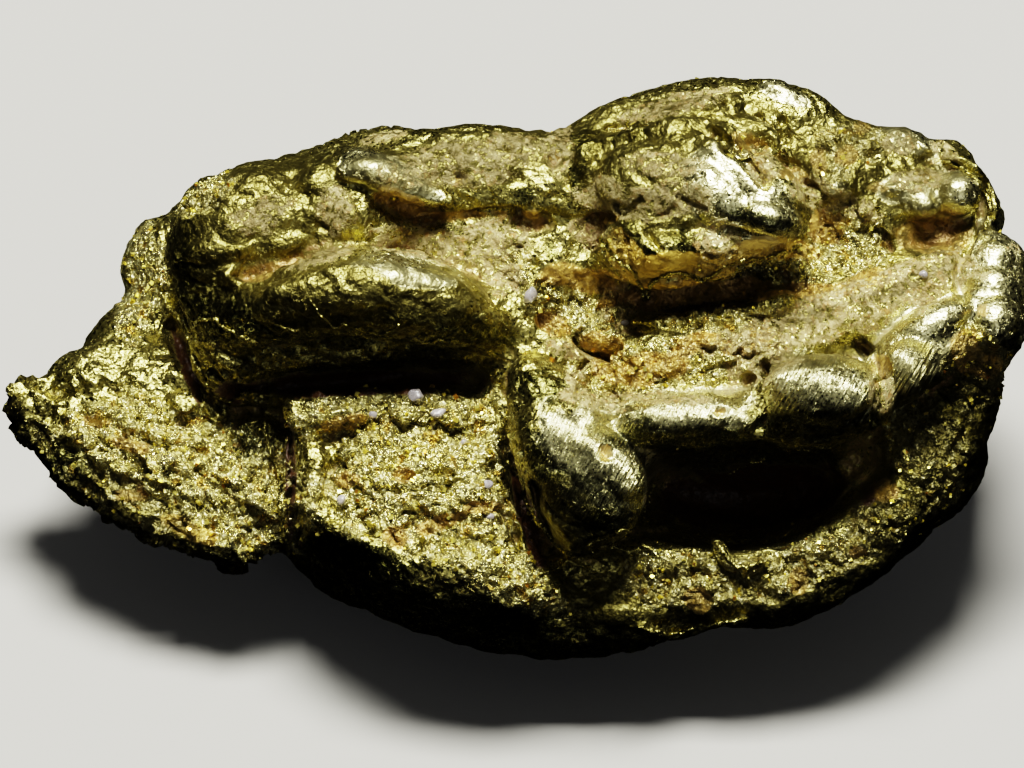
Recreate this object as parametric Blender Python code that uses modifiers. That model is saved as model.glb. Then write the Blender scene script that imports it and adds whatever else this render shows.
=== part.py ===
"""A small nugget of native gold: one lump, folded, hammered and rolled smooth in a stream bed.

The nugget is worked like clay. Lumps and rolls are piled up, hollows are pressed in, and more
rolls are laid across the hollows. The pile is fused into one skin, roughened and set on its flat.

Places are given on the nugget's leaning face, in millimetres: across to the right, up the face,
and out of the face. The face leans back by FACE_LEAN from lying flat to standing upright.
"""

import math

import bmesh
import bpy
from mathutils import Matrix, Vector

MILLIMETRE = 0.001
FACE_LEAN = 45.0  # degrees between the face's own "out" and the upright
FACE_MIDDLE = (-0.15, -0.35, 3.7)  # mm, where the face's zero lies from the middle of the base
GRINDSTONE = 40.0  # mm, a side of the block that wears the resting flat
SKIN_VOXEL = 0.11  # mm, the fineness at which the pile is fused
ROLL_STEP = 0.3  # spacing of the beads along a roll, in radii
MOST_TRIANGLES = 9600

GOLD_COLOUR = (0.72, 0.55, 0.19, 1.0)
GOLD_ROUGHNESS = 0.32

# A lump is ((across, up, out), (half width, half height, half depth), turn in degrees).
CORE_LUMPS = {
    "left core": ((-2.9, 1.4, -0.8), (2.3, 2.2, 2.3), 20),
    "middle core": ((0.6, 1.0, -0.8), (2.8, 2.9, 2.6), 0),
    "crown core": ((3.2, 1.6, -0.8), (2.7, 2.9, 2.7), 0),
    "right core": ((5.4, 0.8, -0.8), (2.4, 3.1, 2.4), -20),
    "lower core": ((2.4, -1.3, -0.5), (4.5, 2.5, 2.7), 0),
    "lower left core": ((-1.3, -1.6, -0.5), (2.6, 2.1, 2.2), 0),
    "plateau top": ((-1.5, -1.0, 0.1), (1.8, 1.3, 1.3), 0),
    "plateau": ((-1.2, -2.0, 0.8), (1.9, 1.5, 1.5), -8),
    "plateau sill": ((-0.9, -2.85, 1.3), (1.9, 0.75, 1.15), -12),
    "hood": ((-4.05, 2.2, 0.5), (1.35, 1.25, 1.4), 30),
    "brow": ((-2.7, 2.6, 0.7), (1.5, 1.0, 1.2), 15),
    "hood skirt": ((-4.35, 0.9, 0.5), (0.8, 1.25, 0.9), 25),
    "foot": ((-5.1, -0.9, -0.9), (2.6, 1.6, 1.2), -15),
    "foot toe": ((-7.2, -0.6, -1.0), (0.66, 0.62, 0.7), 0),
    "foot sole": ((-5.4, -1.3, -0.3), (2.0, 0.95, 0.9), -22),
    "foot heel": ((-4.3, -1.7, -0.2), (1.0, 1.1, 0.95), -20),
    "back left hump": ((-4.6, 1.3, -2.0), (1.3, 1.7, 1.5), 10),
    "back left knuckle": ((-4.6, 2.7, -2.2), (0.8, 0.65, 0.8), 20),
    "back left shoulder": ((-5.5, 1.9, -2.2), (0.65, 0.8, 0.8), 10),
    "back left hip": ((-5.9, 0.5, -1.9), (1.0, 0.85, 0.9), 35),
    "crown bulge": ((2.7, 2.9, 1.6), (1.4, 1.2, 1.2), 0),
    "crown cheek": ((2.3, 2.2, 1.9), (0.9, 0.65, 0.9), 0),
    "shoulder": ((5.5, 2.9, 0.3), (1.7, 1.2, 1.2), -20),
    "film bed": ((-0.6, 2.1, 0.5), (1.6, 0.8, 1.0), 0),
    "ledge": ((3.2, 0.35, 1.2), (2.1, 0.9, 1.2), 8),
    "slope": ((5.2, 1.1, 0.9), (2.6, 0.8, 1.0), 21),
    "right flank": ((6.2, -0.7, 0.4), (1.2, 1.6, 1.2), 15),
}

BACK_LUMPS = {
    "resting boss": ((1.1, -1.2, -3.15), (1.8, 0.85, 0.95), 0),
    "resting boss, left": ((-1.5, -1.4, -2.9), (0.9, 0.7, 0.85), 0),
}

# A roll is a list of (across, up, out, radius) that it runs through.
CORE_ROLLS = {
    "upper rim": [
        (-3.4, 2.9, 0.3, 0.6),
        (-2.0, 3.1, 0.7, 0.8),
        (-0.6, 3.25, 0.9, 0.85),
        (0.6, 3.15, 0.9, 0.85),
        (1.5, 3.2, 1.0, 0.8),
    ],
    "foot edge": [
        (-7.0, -1.15, -0.4, 0.4),
        (-6.2, -1.6, 0.0, 0.42),
        (-5.2, -2.1, 0.2, 0.45),
        (-4.3, -2.45, 0.3, 0.48),
    ],
    "bottom rim": [
        (-2.2, -2.8, 0.5, 0.7),
        (-1.0, -3.2, 0.7, 0.8),
        (0.3, -3.5, 0.8, 0.8),
        (1.6, -3.5, 0.9, 0.75),
        (2.9, -3.2, 1.1, 0.65),
        (4.1, -3.15, 1.1, 0.68),
        (5.1, -2.6, 1.1, 0.7),
        (5.95, -1.85, 1.1, 0.7),
        (6.55, -1.0, 0.9, 0.75),
        (6.95, 0.0, 0.7, 0.8),
    ],
}

BACK_ROLLS = {
    "long back fold": [
        (-3.6, 2.0, -2.1, 0.6),
        (-1.8, 1.3, -2.9, 0.75),
        (0.4, 0.9, -3.1, 0.8),
        (2.2, 1.6, -3.1, 0.75),
        (3.8, 2.7, -2.5, 0.65),
    ],
    "rear fold": [
        (-3.5, 3.0, -1.0, 0.6),
        (-1.6, 3.4, -1.3, 0.65),
        (0.6, 3.1, -2.0, 0.65),
        (2.4, 3.5, -2.2, 0.65),
        (4.3, 3.5, -1.6, 0.6),
    ],
    "right back fold": [
        (5.0, 3.0, -1.5, 0.6),
        (5.7, 1.6, -2.1, 0.75),
        (5.8, 0.0, -2.3, 0.75),
        (5.1, -1.5, -2.1, 0.65),
    ],
    "under fold": [
        (-3.0, -0.6, -2.0, 0.6),
        (-1.5, -1.6, -2.3, 0.7),
        (0.6, -2.5, -2.2, 0.7),
        (2.8, -2.9, -1.9, 0.6),
    ],
    "left back knot": [(-2.2, -0.2, -2.5, 0.55), (-3.3, 0.4, -2.4, 0.65), (-4.2, 0.0, -1.9, 0.6)],
}

HOLLOW_LUMPS = {
    "cavity under the bar": ((3.4, -1.7, 2.2), (1.95, 0.95, 2.4), 4),
    "slit beside the tongue": ((0.25, -1.7, 2.2), (0.3, 1.35, 1.3), 22),
    "foot dish": ((-4.3, -0.7, 1.3), (0.7, 0.8, 0.9), 0),
    "brow hollow": ((-1.6, 2.75, 2.3), (0.6, 0.25, 0.7), -20),
    "shoulder pocket": ((6.6, 2.35, 2.0), (0.7, 0.35, 1.1), 0),
    "rear pocket": ((-1.0, 2.6, -2.9), (1.4, 0.5, 0.8), -5),
    "crown rear pocket": ((2.0, 4.3, -1.9), (1.2, 0.6, 0.7), 5),
    "back pocket": ((1.2, 2.3, -3.6), (1.3, 0.45, 0.8), 12),
    "right back pocket": ((4.0, 0.9, -3.7), (0.8, 1.1, 0.8), -10),
    "under pocket": ((1.4, 0.4, -4.3), (1.2, 0.5, 0.8), 10),
}

HOLLOW_ROLLS = {
    "hollow under the lip": [
        (-3.6, 0.3, 1.5, 0.3),
        (-2.6, 0.3, 1.7, 0.42),
        (-1.4, 0.3, 1.7, 0.42),
        (-0.5, 0.35, 1.7, 0.3),
    ],
    "trench": [
        (0.6, 1.2, 1.9, 0.4),
        (1.6, 1.25, 1.7, 0.55),
        (2.8, 1.3, 1.6, 0.62),
        (4.0, 1.5, 1.8, 0.5),
        (4.9, 1.75, 2.0, 0.35),
    ],
    "hood groove": [(-4.6, 1.9, 1.9, 0.25), (-3.8, 2.0, 1.95, 0.38), (-3.0, 2.25, 2.0, 0.3)],
}

FACE_LUMPS = {
    "shoulder knob 1": ((5.1, 3.1, 1.3), (0.45, 0.4, 0.45), 0),
    "shoulder knob 2": ((5.2, 3.75, 0.6), (0.5, 0.45, 0.5), 0),
    "shoulder knob 3": ((6.0, 3.5, 0.6), (0.55, 0.55, 0.55), 0),
    "shoulder knob 4": ((6.95, 3.05, 1.0), (0.42, 0.4, 0.42), 0),
    "shoulder knob 5": ((6.2, 2.9, 1.1), (0.45, 0.35, 0.45), 0),
    "shoulder knob 6": ((6.7, 3.3, 0.4), (0.6, 0.5, 0.6), 0),
    "shoulder knob 7": ((7.2, 2.6, 0.3), (0.55, 0.6, 0.6), 0),
}

FACE_ROLLS = {
    "lip": [
        (-4.3, 1.0, 1.2, 0.45),
        (-3.6, 1.2, 1.7, 0.62),
        (-2.4, 1.4, 2.05, 0.72),
        (-1.3, 1.3, 2.0, 0.7),
        (-0.5, 0.95, 1.6, 0.5),
    ],
    "eyebrow": [
        (-2.75, 3.5, 1.1, 0.2),
        (-2.3, 3.4, 1.5, 0.28),
        (-1.75, 3.25, 1.6, 0.26),
        (-1.15, 2.95, 1.4, 0.18),
    ],
    "crown ridge": [
        (0.9, 3.55, 0.8, 0.5),
        (2.0, 3.95, 0.6, 0.6),
        (3.2, 4.15, 0.5, 0.65),
        (4.3, 4.1, 0.6, 0.6),
        (5.0, 3.7, 0.8, 0.5),
    ],
    "crown band": [
        (1.2, 3.2, 1.5, 0.4),
        (2.2, 3.8, 1.5, 0.4),
        (3.2, 3.95, 1.5, 0.38),
        (3.9, 3.7, 1.7, 0.35),
    ],
    "thumb": [
        (2.9, 3.6, 2.0, 0.45),
        (3.4, 3.3, 2.4, 0.55),
        (3.9, 2.85, 2.5, 0.6),
        (4.2, 2.6, 2.3, 0.5),
    ],
    "crown hem": [
        (1.5, 1.95, 1.6, 0.25),
        (2.1, 1.7, 1.9, 0.27),
        (2.9, 1.75, 2.0, 0.24),
        (3.6, 1.95, 2.0, 0.22),
    ],
    "right end": [
        (7.3, 2.2, 1.0, 0.35),
        (7.6, 1.8, 1.1, 0.5),
        (7.65, 1.2, 1.1, 0.52),
        (7.35, 0.6, 1.2, 0.5),
    ],
    "bar, near the tongue": [
        (1.6, -0.55, 2.2, 0.35),
        (2.2, -0.6, 2.45, 0.4),
        (3.0, -0.55, 2.55, 0.42),
        (3.7, -0.5, 2.5, 0.4),
    ],
    "bar, middle": [
        (4.05, -0.35, 2.5, 0.5),
        (4.4, -0.3, 2.6, 0.7),
        (5.1, -0.2, 2.55, 0.7),
        (5.5, -0.1, 2.3, 0.5),
    ],
    "bar, far end": [
        (5.7, 0.0, 2.1, 0.5),
        (6.2, 0.35, 2.0, 0.55),
        (6.9, 0.85, 1.6, 0.5),
        (7.4, 1.2, 1.2, 0.45),
    ],
    "tongue": [
        (0.35, 0.1, 2.0, 0.4),
        (0.5, -0.35, 2.2, 0.62),
        (0.85, -0.9, 2.3, 0.85),
        (1.15, -1.5, 2.3, 0.98),
        (1.15, -2.0, 2.2, 0.75),
        (1.1, -2.3, 2.1, 0.45),
    ],
    "plateau rim": [
        (-3.1, -0.6, 0.8, 0.35),
        (-3.15, -1.3, 1.0, 0.45),
        (-2.9, -2.1, 1.0, 0.5),
        (-2.3, -2.7, 0.9, 0.5),
    ],
}

# Each coat of roughness is (size of its dents, depth) in millimetres, from coarse to fine.
DENTS = [(1.3, 0.22), (0.55, 0.12)]

LEAN = Matrix.Rotation(math.radians(90.0 - FACE_LEAN), 4, "X")


def add_lump(pile, place, radii, turn):
    """Adds one rounded lump, turned in the plane of the face."""
    shape = (
        LEAN
        @ Matrix.Translation(place)
        @ Matrix.Rotation(math.radians(turn), 4, "Z")
        @ Matrix.Diagonal((*radii, 1.0))
    )
    bmesh.ops.create_icosphere(pile, subdivisions=4, radius=1.0, matrix=shape)


def between(before, start, end, after, t):
    """A point of the smooth curve from start to end, with the points on either side of them."""
    return 0.5 * (
        2 * start
        + (end - before) * t
        + (2 * before - 5 * start + 4 * end - after) * t**2
        + (3 * start - before - 3 * end + after) * t**3
    )


def beads_along(points):
    """The places and radii of the beads that make up a roll."""
    knots = [Vector(point) for point in points]
    knots = [2 * knots[0] - knots[1], *knots, 2 * knots[-1] - knots[-2]]
    for before, start, end, after in zip(knots, knots[1:], knots[2:], knots[3:]):
        length = (end - start).to_3d().length
        count = max(2, math.ceil(length / (ROLL_STEP * min(start[3], end[3]))))
        for i in range(count):
            yield between(before, start, end, after, i / count)
    yield knots[-2]


def add_roll(pile, points):
    """Adds a bar with round ends, whose thickness changes along it."""
    for bead in beads_along(points):
        place = LEAN @ Matrix.Translation(bead.to_3d()) @ Matrix.Scale(bead[3], 4)
        bmesh.ops.create_icosphere(pile, subdivisions=3, radius=1.0, matrix=place)


def new_object(name, mesh, collection):
    obj = bpy.data.objects.new(name, mesh)
    collection.objects.link(obj)
    return obj


def piled(name, lumps, rolls, collection):
    """One object that holds every lump and roll, still as separate overlapping shells."""
    pile = bmesh.new()
    for place, radii, turn in lumps.values():
        add_lump(pile, place, radii, turn)
    for points in rolls.values():
        add_roll(pile, points)
    mesh = bpy.data.meshes.new(name)
    pile.to_mesh(mesh)
    pile.free()
    return new_object(name, mesh, collection)


def bake(obj):
    """Replaces an object's mesh with what its modifiers make of it."""
    graph = bpy.context.evaluated_depsgraph_get()
    mesh = bpy.data.meshes.new_from_object(obj.evaluated_get(graph))
    obj.modifiers.clear()
    obj.data = mesh


def fuse(obj, smoothing):
    """Fuses overlapping shells into one skin and softens the creases between them."""
    remesh = obj.modifiers.new("fuse", "REMESH")
    remesh.mode = "VOXEL"
    remesh.voxel_size = SKIN_VOXEL
    soften = obj.modifiers.new("soften", "SMOOTH")
    soften.factor = 0.5
    soften.iterations = smoothing
    bake(obj)


def cut(obj, cutter):
    """Takes the cutter's shape out of the object."""
    boolean = obj.modifiers.new("cut", "BOOLEAN")
    boolean.operation = "DIFFERENCE"
    boolean.solver = "EXACT"
    boolean.object = cutter
    bake(obj)


def lay_on(obj, others):
    """Joins more shells to the object's mesh, ready to be fused."""
    pile = bmesh.new()
    pile.from_mesh(obj.data)
    pile.from_mesh(others.data)
    pile.to_mesh(obj.data)
    pile.free()
    bpy.data.objects.remove(others)


def islands(mesh):
    """The connected parts of a bmesh, each a list of its vertices."""
    left = set(mesh.verts)
    while left:
        queue = [left.pop()]
        island = []
        while queue:
            vertex = queue.pop()
            island.append(vertex)
            for edge in vertex.link_edges:
                other = edge.other_vert(vertex)
                if other in left:
                    left.remove(other)
                    queue.append(other)
        yield island


def keep_outer_skin(obj):
    """Drops every sealed bubble and stray crumb, and keeps the one outer skin."""
    mesh = bmesh.new()
    mesh.from_mesh(obj.data)
    parts = sorted(islands(mesh), key=len)
    stray = [vertex for part in parts[:-1] for vertex in part]
    bmesh.ops.delete(mesh, geom=stray, context="VERTS")
    mesh.to_mesh(obj.data)
    mesh.free()


def roughen(obj):
    """Hammers the skin with coats of dents, coarse and then fine."""
    for i, (size, depth) in enumerate(DENTS):
        texture = bpy.data.textures.new(f"dents {i}", "CLOUDS")
        texture.noise_scale = size
        texture.noise_depth = 1
        dents = obj.modifiers.new(f"dents {i}", "DISPLACE")
        dents.texture = texture
        dents.texture_coords = "LOCAL"
        dents.strength = depth
        dents.mid_level = 0.5
    bake(obj)


def thin_out(obj, triangles):
    """Merges triangles where the skin is nearly flat, down to the number given."""
    obj.data.calc_loop_triangles()
    decimate = obj.modifiers.new("thin out", "DECIMATE")
    decimate.ratio = triangles / len(obj.data.loop_triangles)
    decimate.use_collapse_triangulate = True
    bake(obj)


def set_down(obj):
    """Moves the nugget to where the ground is level with zero."""
    obj.data.transform(Matrix.Translation(FACE_MIDDLE))


def wear_flat(obj, cutters):
    """Grinds off what is below the ground, which leaves the small flat that the nugget lies on."""
    stone = bmesh.new()
    below_ground = Matrix.Translation((0.0, 0.0, -GRINDSTONE / 2))
    bmesh.ops.create_cube(stone, size=GRINDSTONE, matrix=below_ground)
    mesh = bpy.data.meshes.new("grindstone")
    stone.to_mesh(mesh)
    stone.free()
    cutter = new_object("grindstone", mesh, cutters)
    cut(obj, cutter)
    bpy.data.objects.remove(cutter)


def to_metres(obj):
    obj.data.transform(Matrix.Scale(MILLIMETRE, 4))


def gold_material():
    """Native gold with a little silver in it, worn to a satin finish."""
    material = bpy.data.materials.new("native gold")
    material.use_nodes = True
    shader = material.node_tree.nodes["Principled BSDF"]
    shader.inputs["Base Color"].default_value = GOLD_COLOUR
    shader.inputs["Metallic"].default_value = 1.0
    shader.inputs["Roughness"].default_value = GOLD_ROUGHNESS
    material.diffuse_color = GOLD_COLOUR
    return material


def new_collection(name):
    collection = bpy.data.collections.new(name)
    bpy.context.scene.collection.children.link(collection)
    return collection


def make_nugget():
    parts = new_collection("gold nugget")
    cutters = new_collection("cutters")
    nugget = piled("nugget", CORE_LUMPS | BACK_LUMPS, CORE_ROLLS | BACK_ROLLS, parts)
    fuse(nugget, smoothing=6)
    hollows = piled("hollows", HOLLOW_LUMPS, HOLLOW_ROLLS, cutters)
    fuse(hollows, smoothing=2)
    cut(nugget, hollows)
    bpy.data.objects.remove(hollows)
    lay_on(nugget, piled("face", FACE_LUMPS, FACE_ROLLS, cutters))
    fuse(nugget, smoothing=4)
    keep_outer_skin(nugget)
    roughen(nugget)
    thin_out(nugget, MOST_TRIANGLES)
    set_down(nugget)
    wear_flat(nugget, cutters)
    to_metres(nugget)
    nugget.data.materials.clear()
    nugget.data.materials.append(gold_material())
    nugget.data.shade_smooth()


for old in list(bpy.data.objects):
    bpy.data.objects.remove(old)
make_nugget()
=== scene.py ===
"""A small nugget of native gold, as it came out of the stream, on a pale table top.

Lengths are in millimetres until a piece is finished, and then in metres as the frame is.
Places on the nugget are given on its leaning face: across to the right, up the face, and out of it.
"""

import math
import random
from functools import partial

import bmesh
import bpy
import numpy as np
from mathutils import Euler, Matrix, Vector, noise
from mathutils.bvhtree import BVHTree
from mathutils.kdtree import KDTree


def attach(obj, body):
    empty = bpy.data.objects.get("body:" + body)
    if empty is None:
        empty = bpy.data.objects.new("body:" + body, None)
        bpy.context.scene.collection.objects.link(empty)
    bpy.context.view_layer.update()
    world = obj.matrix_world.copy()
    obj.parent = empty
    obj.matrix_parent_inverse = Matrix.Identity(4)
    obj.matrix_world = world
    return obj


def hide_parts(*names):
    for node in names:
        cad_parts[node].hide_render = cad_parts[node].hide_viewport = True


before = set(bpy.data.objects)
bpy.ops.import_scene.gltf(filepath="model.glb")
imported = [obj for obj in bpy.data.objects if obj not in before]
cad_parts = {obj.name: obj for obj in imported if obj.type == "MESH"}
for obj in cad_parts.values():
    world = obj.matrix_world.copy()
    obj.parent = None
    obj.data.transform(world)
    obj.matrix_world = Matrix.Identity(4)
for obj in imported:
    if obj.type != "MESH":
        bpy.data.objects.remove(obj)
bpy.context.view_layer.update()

# ------------------------
# The camera looks square onto the nugget's face, which leans back by half a right angle, from
# far enough off that the near lobes are drawn no larger than the far ones.

MILLIMETRE = 0.001
FACE_LEAN = 45.0  # degrees
FACE_MIDDLE = (-0.15, -0.35, 3.7)  # mm, the face's zero
FACE_WIDTH = 16.0  # mm of the face that span the view
CAMERA_REACH = 240.0  # mm
SENSOR = 36.0

face_in_mm = Matrix.Translation(FACE_MIDDLE) @ Matrix.Rotation(math.radians(FACE_LEAN), 4, "X")
face_to_world = Matrix.Scale(MILLIMETRE, 4) @ face_in_mm
world_to_face = face_to_world.inverted()

camera_data = bpy.data.cameras.new("camera")
camera_data.sensor_width = SENSOR
camera_data.lens = SENSOR * CAMERA_REACH / FACE_WIDTH
camera_data.clip_start = 0.01
camera_data.clip_end = 10.0
camera = bpy.data.objects.new("camera", camera_data)
bpy.context.scene.collection.objects.link(camera)
stand = face_in_mm @ Matrix.Translation((0.0, 0.0, CAMERA_REACH))
camera.matrix_world = Matrix.Translation(stand.to_translation() * MILLIMETRE) @ stand.to_3x3().to_4x4()
bpy.context.scene.camera = camera

# ------------------------
# The nugget: one lump of native gold, folded, hammered and rolled in a stream bed. Its high
# places are rubbed bright, its hollows keep clay and iron stain, and its sheltered sides are
# still rough with gold crystals. It is worked like clay over the plain solid.

SKIN_VOXEL = 0.04  # mm
MOST_TRIANGLES = 194_000
BACK_TRIANGLES = 90_000  # of them, before the last thinning, on the sides that the face hides
IN_FRONT = 30.0  # mm, further out of the face than any lobe
BEAD_STEP = 0.05  # mm between the beads of a roll
STROKE_EDGE = 1.6  # half widths from a stroke's middle to where it has run out
EVENING_ROUNDS = 60  # how often the skin is evened out to find its hollows
DAUBED_DOWN_TO = -1.2  # mm out of the face, and what lies lower has a wild crust instead

# A lump is (across, up, (half width, half height, half depth), turn in degrees, how proud it stands).
FINE_LUMPS = [
    (2.4, 3.05, (1.15, 0.75, 0.8), -12, 0.1), (3.3, 2.82, (1.1, 0.58, 0.9), -42, 0.34),
    (3.95, 2.55, (0.58, 0.38, 0.6), -18, 0.3), (2.5, 2.62, (0.95, 0.58, 0.6), 5, 0.08),
    (2.3, 2.08, (0.6, 0.36, 0.4), 0, 0.16), (3.1, 2.12, (0.6, 0.36, 0.5), -5, 0.42),
    (3.85, 2.12, (0.5, 0.26, 0.5), -8, 0.6), (3.3, 1.02, (0.75, 0.24, 0.45), 5, 0.85),
    (2.4, 0.95, (0.6, 0.16, 0.4), 0, 0.8), (4.05, 1.25, (0.4, 0.25, 0.4), 15, 0.6),
    (1.95, 2.35, (0.45, 0.36, 0.5), 20, 0.08), (4.35, 3.6, (0.24, 0.2, 0.25), -20, 0.2),
    (4.0, 4.05, (0.4, 0.2, 0.3), -30, 0.08), (4.3, 4.5, (0.5, 0.16, 0.3), -24, 0.05),
    (3.0, 4.3, (0.7, 0.2, 0.3), 8, 0.06), (1.2, 3.4, (0.3, 0.42, 0.3), -10, 0.12),
    (1.75, 3.4, (0.35, 0.3, 0.3), 0, 0.08), (2.4, 3.45, (0.4, 0.3, 0.3), 10, 0.08),
    (0.55, 3.05, (0.3, 0.22, 0.3), 0, 0.06), (0.75, 2.3, (0.35, 0.25, 0.3), -10, 0.08),
    (4.98, 3.06, (0.2, 0.2, 0.22), 0, 0.15), (5.5, 2.74, (0.13, 0.12, 0.14), 0, 0.1),
    (6.95, 2.95, (0.38, 0.36, 0.4), 0, 0.22), (6.4, 2.76, (0.26, 0.2, 0.25), 0, 0.14),
    (5.95, 3.02, (0.26, 0.14, 0.2), -5, 0.12), (6.05, 3.82, (0.24, 0.16, 0.2), -20, 0.08),
    (6.35, 3.66, (0.24, 0.12, 0.2), -30, 0.08), (5.45, 3.68, (0.16, 0.12, 0.15), 0, 0.1),
    (5.1, 3.4, (0.13, 0.11, 0.14), 0, 0.08), (5.6, 3.36, (0.14, 0.1, 0.14), 0, 0.08),
    (4.9, 2.74, (0.22, 0.12, 0.2), -20, 0.06), (5.85, 2.35, (0.16, 0.12, 0.15), 0, 0.08),
    (6.6, 2.02, (0.14, 0.12, 0.14), 0, 0.08), (7.48, 1.85, (0.42, 0.45, 0.45), 0, 0.08),
    (7.48, 1.4, (0.46, 0.5, 0.5), 0, 0.3), (7.48, 0.95, (0.46, 0.45, 0.5), 0, 0.52),
    (7.15, 1.2, (0.45, 0.25, 0.4), 35, 0.16), (6.4, 1.72, (0.07, 0.06, 0.08), 0, 0.06),
    (1.35, -1.2, (0.85, 0.52, 0.6), -42, 0.14), (0.95, -0.5, (0.42, 0.38, 0.4), -20, 0.06),
    (2.6, -0.55, (1.15, 0.4, 0.55), 7, 0.24), (4.72, -0.12, (0.92, 0.6, 0.75), 6, 0.34),
    (6.45, 0.85, (0.8, 0.36, 0.5), 30, 0.2), (6.1, 0.2, (0.42, 0.5, 0.5), -10, 0.22),
    (6.9, 1.25, (0.3, 0.14, 0.2), 35, 0.1), (-4.35, 1.68, (0.22, 0.17, 0.22), 0, 0.14),
    (-2.93, 1.02, (0.09, 0.07, 0.1), 0, 0.06), (-2.9, 1.55, (1.0, 0.3, 0.4), 12, 0.05),
    (-3.6, 2.5, (0.7, 0.45, 0.5), 35, 0.08), (-4.35, 2.12, (0.75, 0.34, 0.5), 8, 0.12),
    (-3.5, 2.2, (0.6, 0.3, 0.4), 14, 0.12), (-4.1, 2.75, (0.8, 0.55, 0.6), 30, 0.06),
    (-2.5, 2.6, (0.5, 0.5, 0.5), 10, 0.2), (-2.9, 3.1, (0.5, 0.35, 0.4), 25, 0.1),
    (-1.02, 3.85, (0.22, 0.1, 0.2), 0, 0.08), (-1.3, 3.3, (0.3, 0.16, 0.25), -20, 0.06),
    (-0.2, 3.35, (0.35, 0.2, 0.3), 10, 0.08), (-5.15, 1.98, (0.14, 0.12, 0.14), 0, 0.06),
    (-5.1, 1.4, (0.13, 0.2, 0.14), 10, 0.06), (-7.3, -0.4, (0.62, 0.52, 0.6), 0, 0.1),
    (-6.5, 0.05, (0.5, 0.36, 0.5), 10, 0.1), (-4.35, -2.4, (0.5, 0.42, 0.4), -20, 0.1),
    (-3.95, -1.0, (0.4, 0.55, 0.45), -15, 0.22), (-5.2, -0.4, (0.5, 0.3, 0.4), -25, 0.1),
    (-2.35, -0.98, (0.42, 0.15, 0.2), 28, 0.1), (-2.95, -0.5, (0.45, 0.3, 0.4), 0, 0.24),
    (-2.2, -0.45, (0.45, 0.28, 0.4), 0, 0.2), (-1.5, -0.45, (0.45, 0.28, 0.4), 0, 0.18),
    (-0.85, -0.52, (0.4, 0.28, 0.4), 0, 0.14), (-2.9, -1.15, (0.24, 0.3, 0.3), 0, 0.1),
    (3.7, -2.8, (0.45, 0.2, 0.3), 0, 0.1), (2.5, -2.8, (0.55, 0.3, 0.3), 5, 0.1),
    (0.85, -2.85, (0.22, 0.16, 0.2), 0, 0.12), (2.08, 1.42, (0.1, 0.14, 0.12), 0, 0.08),
]

# A roll is ([(across, up, radius) that it runs through], how proud it stands).
FINE_ROLLS = [
    ([(-2.6, 3.3, 0.14), (-2.25, 3.3, 0.24), (-1.85, 3.15, 0.3), (-1.5, 3.0, 0.26),
      (-1.0, 2.85, 0.12)], 0.32),
    ([(-3.7, 1.2, 0.3), (-2.9, 1.45, 0.42), (-1.9, 1.5, 0.45), (-1.1, 1.35, 0.38), (-0.55, 1.1, 0.25)], 0.1),
    ([(-3.0, -0.75, 0.16), (-3.12, -1.4, 0.24), (-3.0, -1.95, 0.27), (-2.65, -2.3, 0.26),
      (-2.1, -2.55, 0.16)], 0.12),
    ([(1.5, 3.75, 0.12), (2.3, 3.95, 0.16), (3.0, 3.98, 0.16), (3.5, 3.72, 0.14), (3.85, 3.25, 0.1)], 0.1),
    ([(6.7, 3.5, 0.08), (7.1, 3.38, 0.12), (7.38, 3.05, 0.12), (7.5, 2.6, 0.1)], 0.1),
    ([(3.18, -2.5, 0.08), (3.36, -2.74, 0.12), (3.6, -2.82, 0.12), (3.9, -2.74, 0.08)], 0.12),
    ([(0.9, 0.75, 0.12), (1.3, 0.9, 0.16), (1.6, 0.75, 0.12)], 0.12),
]


def face_spline(before, start, end, after, t):
    """A point of the smooth curve from start to end, with the points on either side of them."""
    return 0.5 * (
        2 * start
        + (end - before) * t
        + (2 * before - 5 * start + 4 * end - after) * t**2
        + (3 * start - before - 3 * end + after) * t**3
    )


def along(path, step):
    """Points no further than step apart on the smooth curve through the path's points."""
    knots = [Vector(point) for point in path]
    knots = [2 * knots[0] - knots[1], *knots, 2 * knots[-1] - knots[-2]]
    for before, start, end, after in zip(knots, knots[1:], knots[2:], knots[3:]):
        count = max(1, math.ceil((end - start).length / step))
        for i in range(count):
            yield face_spline(before, start, end, after, i / count)
    yield knots[-2]


def new_object(name, shape):
    """An object made of the bmesh given, which is freed."""
    mesh = bpy.data.meshes.new(name)
    shape.to_mesh(mesh)
    shape.free()
    obj = bpy.data.objects.new(name, mesh)
    bpy.context.scene.collection.objects.link(obj)
    return obj


def bake(obj):
    """Replaces an object's mesh with what its modifiers make of it."""
    graph = bpy.context.evaluated_depsgraph_get()
    mesh = bpy.data.meshes.new_from_object(obj.evaluated_get(graph))
    obj.modifiers.clear()
    obj.data = mesh


def plain_skin(part):
    """The part's skin on the face's frame, in millimetres, with its facets rounded away."""
    skin = bmesh.new()
    skin.from_mesh(part.data)
    bmesh.ops.remove_doubles(skin, verts=skin.verts, dist=1e-6)
    bmesh.ops.transform(skin, matrix=world_to_face, verts=skin.verts)
    obj = new_object("skin", skin)
    rounding = obj.modifiers.new("rounding", "SUBSURF")
    rounding.levels = rounding.render_levels = 2
    bake(obj)
    return obj


def fuse(obj, voxel, smoothing):
    """Fuses overlapping shells into one skin and softens the creases between them."""
    remesh = obj.modifiers.new("fuse", "REMESH")
    remesh.mode = "VOXEL"
    remesh.voxel_size = voxel
    soften = obj.modifiers.new("soften", "SMOOTH")
    soften.factor = 0.5
    soften.iterations = smoothing
    bake(obj)


def tree_of(obj):
    """The object's faces, sorted so that a ray finds the one it meets."""
    return BVHTree.FromObject(obj, bpy.context.evaluated_depsgraph_get())


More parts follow.
